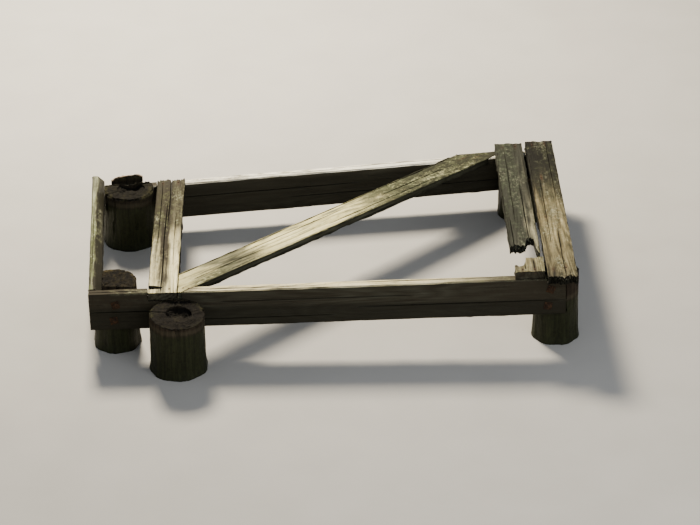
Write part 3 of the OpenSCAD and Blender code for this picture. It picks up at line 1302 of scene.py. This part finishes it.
@dataclass
class LetInBoards(Assembly):
    """The cross board and the diagonal brace, both flush with the bearers."""

    cross_right: float = -0.747
    brace_from: float = -0.852
    brace_heading: float = 41.9
    # Along the cross board and the brace, the pale towards the front is bleached wood and painted
    # sunlight, and the dark towards the rear and in the cross board's middle strip is dirt and
    # painted shadow of reeds.
    cross: WoodFinish = WoodFinish(
        along=zones(
            (0.0, 1.0, 0.05), (0.24, 1.0, 0.15), (0.42, 0.85, 0.6, 0.15), (0.56, 0.45, 0.95, 0.7),
            (1.0, 0.3, 1.0, 0.85)),
        across=zones(
            (0.0, 1.0, 0.7), (0.30, 1.0, 0.7), (0.42, 0.4, 1.0, 0.95), (0.64, 0.4, 1.0, 0.95),
            (0.74, 0.85, 1.0), (1.0, 0.95, 1.0)),
        splits=splits(
            TOP=((0.084, 0.02, 1.05, 0.024, 0.0048), (0.071, 0.75, 1.42, 0.022, 0.0040),
                 (0.034, 0.30, 0.95, 0.010, 0.0020), (0.118, 0.55, 1.30, 0.012, 0.0020))),
        heart="272219", silver="7f7b66", pale_low="c4ba8c", pale_high="fdf4c8",
        moss_low="2b2c1b", moss_high="5c5f3f", dark_free_until=0.16)
    brace: WoodFinish = WoodFinish(
        along=zones(
            (0.0, 0.9, 0.25, 0.1), (0.09, 0.75, 0.45, 0.25), (0.14, 0.45, 0.65, 0.5),
            (0.22, 0.5, 0.5, 0.4), (0.27, 1.0, 0.05), (0.45, 1.0, 0.1), (0.55, 0.95, 0.6, 0.05),
            (0.66, 0.65, 0.95, 0.4), (0.76, 0.3, 1.0, 0.75), (1.0, 0.1, 1.0, 0.92)),
        splits=splits(
            TOP=((-0.018, 0.22, 0.72, 0.020, 0.0032), (0.031, 0.60, 1.30, 0.012, 0.0022),
                 (-0.046, 1.10, 1.95, 0.014, 0.0024), (0.006, 1.55, 2.05, 0.012, 0.0022))),
        heart="26251b", fibre="6e6e5c", silver="949480", pale_low="cabf86", pale_high="faf0bc",
        moss_low="262a17", moss_high="62664a", lichen=0.6, fleck="cfcc9c")

    def parts(self) -> list[Worn]:
        """Lists both boards.

        Returns:
            The boards.
        """
        cross = grain_axes(self.cross_right, 0.0, 90.0)
        brace = grain_axes(self.brace_from, 0.0, self.brace_heading)
        return [
            Timber("cross_board", Slot.PALE, 5, cross, self.cross, torn_end=True),
            Timber("brace", Slot.MOSSY, 6, brace, self.brace),
        ]


@dataclass
class DeckBoards(Assembly):
    """The last deck boards: a broken one with its stub, and the outer one."""

    inner_right: float = 1.084
    outer_right: float = 1.250
    stub_shift: float = 0.008
    stub_steps: Triple = (0.009, 0.004, 0.0055)
    # The inner board's dark colours and dark rear are painted shadow of reeds over mossy wood, and
    # the pale of its right third is painted sunlight.
    inner: WoodFinish = WoodFinish(
        along=zones(
            (0.0, 0.8, 0.5, 0.15), (0.25, 0.6, 0.7, 0.4), (0.6, 0.3, 0.8, 0.65),
            (1.0, 0.2, 0.9, 0.75)),
        across=zones(
            (0.0, 1.0, 0.5), (0.30, 0.9, 0.7), (0.45, 0.3, 1.0, 0.6), (1.0, 0.25, 1.0, 0.7)),
        splits=splits(
            TOP=((0.048, 0.30, 1.05, 0.016, 0.0026), (0.102, 0.55, 1.50, 0.014, 0.0026),
                 (0.127, 0.22, 0.60, 0.018, 0.0030))),
        heart="1e1e17", fibre="42423a", silver="626258", pale_low="8a856c", pale_high="d9cfa6",
        moss_low="272b22", moss_high="4c5440", lichen=0.35)
    stub: WoodFinish = WoodFinish(
        along=zones((0.0, 0.5, 0.4, 0.5), (0.5, 0.65, 0.4, 0.35), (1.0, 0.75, 0.5, 0.25)),
        splits=splits(
            TOP=((0.052, 0.01, 0.15, 0.012, 0.0020), (0.098, 0.04, 0.17, 0.016, 0.0024))),
        heart="272219", pale_low="978c62", pale_high="ddd2a6")
    # The outer board's dark rear and near-black heart are painted shadow of reeds over mossy wood,
    # and its pale front is bleached wood and painted sunlight.
    outer: WoodFinish = WoodFinish(
        along=zones(
            (0.0, 0.4, 0.4, 0.7), (0.10, 0.6, 0.5, 0.45), (0.38, 0.8, 0.5, 0.3),
            (0.54, 0.65, 0.6, 0.4), (0.70, 0.35, 0.8, 0.75), (0.86, 0.1, 0.9, 0.97),
            (1.0, 0.0, 0.9, 1.0)),
        splits=splits(
            TOP=((0.060, -0.085, 0.48, 0.018, 0.0030), (0.104, 0.30, 1.10, 0.012, 0.0022),
                 (0.037, 0.85, 1.55, 0.014, 0.0024))),
        heart="12110c", fibre="4a4536", silver="6b6653", pale_low="8a7d58", pale_high="dfd0a0",
        moss_low="22241a", moss_high="42452f", lichen=0.35)

    def parts(self) -> list[Worn]:
        """Lists the three pieces of board.

        Returns:
            The pieces.
        """
        inner, stub, outer = (grain_axes(right, 0.0, 90.0) for right in (
            self.inner_right, self.inner_right + self.stub_shift, self.outer_right))
        return [
            Timber("inner_board", Slot.MOSSY, 7, inner, self.inner, torn_start=True),
            Timber("inner_board_stub", Slot.PALE, 8, stub, self.stub, self.stub_steps,
                   splinter=0.020, torn_end=True),
            Timber("outer_board", Slot.PALE, 9, outer, self.outer, tear=0.014, torn_start=True),
        ]


@dataclass
class Piles(Assembly):
    """The four piles under the frame and the stump in front of it."""

    slim: float = 0.116
    stout: float = 0.142
    first_seed: int = 11
    crest: float = 0.014
    trenched: LogFinish = LogFinish(0.5, rim="5c5638", flank_high="2c261d", head_high="14110d",
                                    lit="cdb69f", torn_from=0.100)

    def parts(self) -> list[Worn]:
        """Lists the five logs, each about the middle of its CAD solid.

        Returns:
            The logs.
        """
        made = []
        for node, radius, lower, finish in (
            ("front_left_pile", self.slim, 0.0, LogFinish(0.8, rim="7c6c42")),
            ("front_right_pile", self.slim, 0.0, LogFinish(0.3)),
            ("rear_left_pile", self.stout, self.crest, self.trenched),
            ("rear_right_pile", self.stout, 0.0, LogFinish(0.5)),
            ("outer_stump", self.stout, 0.0, LogFinish(0.25)),
        ):
            low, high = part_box(node)
            made.append(Pile(node, Slot.WET, self.first_seed + len(made), (low.x + high.x) / 2,
                             (low.y + high.y) / 2, high.z - lower, radius, finish))
        return made


@dataclass
class Fastenings:
    """Wire nails in the boards and coach bolts through the front bearer."""

    finish: IronFinish = IronFinish()
    nail_head: float = 0.0052
    nail_thickness: float = 0.0018
    nail_shank: float = 0.012
    nail_sides: int = 14
    nail_rounding: float = 0.0003
    nail_sunk: float = 0.0034
    nail_play: float = 0.0012
    nail_lean: float = 6.0
    bolt_head: float = 0.015
    bolt_rim: float = 0.003
    bolt_middle: float = 0.0052
    bolt_proud: float = 0.0015
    bolt_turn: float = 0.4
    bolt_sides: int = 20
    bolt_dome: tuple = ((0.0035, 0.0035), (0.0045, 0.0022), (0.0040, 0.0008))
    bolt_places: tuple = ((-1.060, -0.062), (-1.072, -0.148), (1.118, -0.058), (1.104, -0.150))
    washer: float = 0.040
    washer_thickness: float = 0.004
    washer_rounding: float = 0.0011
    sharp: float = 50.0
    shading: float = 35.0
    seed: int = 41

    def iron(self) -> Material:
        """Wires rusted iron.

        Returns:
            The material.
        """
        finish = self.finish
        wire = Wiring("rusted_iron", 1.0)
        crust = wire.noise(Figure((420.0, 420.0, 420.0), 5.0, 0.7))
        bloom = wire.noise(Figure((90.0, 90.0, 90.0), 3.0, 0.6, shift=1.0))
        wire.colour = wire.ramp(crust, (0.34, finish.bare), (0.72, finish.bloom),
                                (0.52, finish.crust))
        wire.coat(bloom.ease(0.62, 0.40), finish.bare)
        wire.relief(crust, 0.0008, 0.7)
        return wire.close(crust * 0.3 + 0.6)

    def cylinder(self, sides: int, radius: float, depth: float, middle: float) -> Work:
        """Adds an upright cylinder.

        Args:
            sides: How many sides it has.
            radius: Its radius.
            depth: Its height.
            middle: Height of its middle over the origin.

        Returns:
            The cylinder.
        """
        bpy.ops.object.select_all(action="DESELECT")
        bpy.ops.mesh.primitive_cylinder_add(vertices=sides, radius=radius, depth=depth)
        made = Work(bpy.context.object)
        made.place(Matrix.Translation((0.0, 0.0, middle)))
        return made

    def model_nail(self) -> Work:
        """Models one nail, head at the origin and shank down Z.

        Returns:
            The nail.
        """
        head, thick = self.nail_head, self.nail_thickness
        nail = self.cylinder(self.nail_sides, head, thick, thick / 2)
        nail.inset_end(1, (head * 0.28, thick * 0.22), (head * 0.30, thick * -0.10))
        nail.inset_end(-1, (head * 0.58, 0.0), (0.0, self.nail_shank))
        nail.bevel(self.sharp, self.nail_rounding, 1)
        return nail

    def model_bolt(self) -> Work:
        """Models one coach bolt with its square washer, head along Z from the origin.

        Returns:
            The bolt.
        """
        bpy.ops.object.select_all(action="DESELECT")
        bpy.ops.mesh.primitive_cube_add(size=1.0)
        bolt = Work(bpy.context.object)
        size = Matrix.Diagonal((self.washer, self.washer, self.washer_thickness, 1.0))
        bolt.place(Matrix.Translation((0.0, 0.0, self.washer_thickness / 2)) @ size)
        bolt.bevel(self.sharp, self.washer_rounding, 2)
        dome = self.cylinder(self.bolt_sides, self.bolt_head, self.bolt_rim, self.bolt_middle)
        dome.inset_end(1, *self.bolt_dome)
        bolt.take()
        dome.piece.select_set(True)
        bpy.ops.object.join()
        return bolt

    def set_copy(self, model: Work, name: str, matrix: Matrix) -> Object:
        """Sets a copy of a fastening in its place.

        Args:
            model: The nail or bolt at the origin.
            name: Name of the new piece.
            matrix: Where it goes.

        Returns:
            The copy, with a mesh of its own.
        """
        piece = in_scene(name, model.piece.data.copy())
        work = Work(piece)
        work.place(matrix)
        work.shade(self.shading)
        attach(piece, BODY)
        return piece

    def build(self) -> list[Object]:
        """Makes every nail and bolt.

        Returns:
            The pieces.
        """
        rng = np.random.default_rng(self.seed)
        nail, bolt = self.model_nail(), self.model_bolt()
        iron = self.iron()
        made = []
        for model in (nail, bolt):
            model.piece.data.materials.append(iron)
        for number, (x, y, z) in enumerate(nail_places(), 1):
            lean_x, lean_y = rng.uniform(-self.nail_lean, self.nail_lean, 2)
            sunk = z - self.nail_sunk + self.nail_play * rng.random()
            turn = turned("X", lean_x) @ turned("Y", lean_y)
            matrix = settled() @ Matrix.Translation((x, y, sunk)) @ turn
            made.append(self.set_copy(nail, f"nail_{number:02d}", matrix))
        for number, (x, z) in enumerate(self.bolt_places, 1):
            spin = rng.uniform(-self.bolt_turn, self.bolt_turn)
            turn = turned("X", 90.0) @ Matrix.Rotation(spin, 4, "Z")
            matrix = settled() @ Matrix.Translation((x, self.bolt_proud, z)) @ turn
            made.append(self.set_copy(bolt, f"coach_bolt_{number}", matrix))
        for model in (nail, bolt):
            bpy.data.objects.remove(model.piece)
        return made


@dataclass(frozen=True)
class Lamp:
    """One soft light: its name, place, aim, the side of its panel, power in watts and tint."""

    name: str
    place: Triple
    aim: Triple
    size: float
    power: float
    tint: str

    def hang(self) -> None:
        """Hangs the light."""
        data = bpy.data.lights.new(self.name, "AREA")
        data.size = self.size
        data.energy = self.power
        data.color = linear(self.tint)[:3]
        lamp = in_scene(self.name, data)
        lamp.location = self.place
        aim = Vector(self.aim) - Vector(self.place)
        lamp.rotation_euler = aim.to_track_quat("-Z", "Y").to_euler()


@dataclass
class Studio:
    """Pale floor, soft lights and the camera at the photograph's angle."""

    key: Lamp = Lamp("key", (-1.6, 4.6, 5.2), (0.0, 0.1, 0.2), 1.6, 1850.0, "fff3dc")
    fill: Lamp = Lamp("fill", (2.5, -5.0, 3.0), (0.0, 0.0, 0.2), 4.0, 185.0, "eef2fa")
    air: str = "dfe6ee"
    air_power: float = 0.50
    eye: Triple = (-0.1012, -13.3296, 7.8318)
    forward: Triple = (0.01387, 0.86591, -0.5)
    up: Triple = (0.01871, 0.49974, 0.86598)
    lens: float = 151.714
    sight: float = 100.0
    floor_size: float = 60.0

    def floor(self) -> None:
        """Lays the pale floor."""
        bpy.ops.object.select_all(action="DESELECT")
        bpy.ops.mesh.primitive_plane_add(size=self.floor_size, location=(0, 0, 0))
        floor = bpy.context.object
        floor.name = "studio_floor"
        wire = Wiring("pale_floor", 1.0)
        grain = wire.noise(Figure((3.0, 3.0, 3.0), 3.0, 0.5))
        wire.colour = wire.ramp(grain, (0.3, "a4a19b"), (0.7, "a9a6a0"))
        floor.data.materials.append(wire.close(0.9, FLOOR_SHEEN))

    def lights(self) -> None:
        """Hangs the key behind and above, where the sun stood, a weak fill and pale air."""
        self.key.hang()
        self.fill.hang()
        world = bpy.data.worlds.new("studio_air")
        bpy.context.scene.world = world
        world.use_nodes = True
        nodes = world.node_tree.nodes
        air = nodes.get("Background") or nodes.new("ShaderNodeBackground")
        air.inputs[0].default_value = linear(self.air)
        air.inputs[1].default_value = self.air_power

    def camera(self) -> None:
        """Sets the camera."""
        data = bpy.data.cameras.new("camera")
        data.lens = self.lens
        data.clip_end = self.sight
        camera = in_scene("camera", data)
        forward, up = Vector(self.forward), Vector(self.up)
        turn = Matrix((forward.cross(up), up, -forward)).transposed().to_4x4()
        camera.matrix_world = Matrix.Translation(self.eye) @ turn
        bpy.context.scene.camera = camera

    def build(self) -> None:
        """Builds the whole studio."""
        self.floor()
        self.lights()
        self.camera()


def report(piece: Object) -> None:
    """Logs a piece's name and how many faces it has."""
    LOG.info("%s: %d faces", piece.name, len(piece.data.polygons))


def main() -> None:
    """Builds the jetty piece by piece, then the studio round it."""
    logging.basicConfig(level=logging.INFO, format="%(name)s: %(message)s")
    for assembly in (Bearers(), EndJoists(), LetInBoards(), DeckBoards(), Piles(), Fastenings()):
        for piece in assembly.build():
            report(piece)
    Studio().build()


if __name__ == "__main__":
    main()
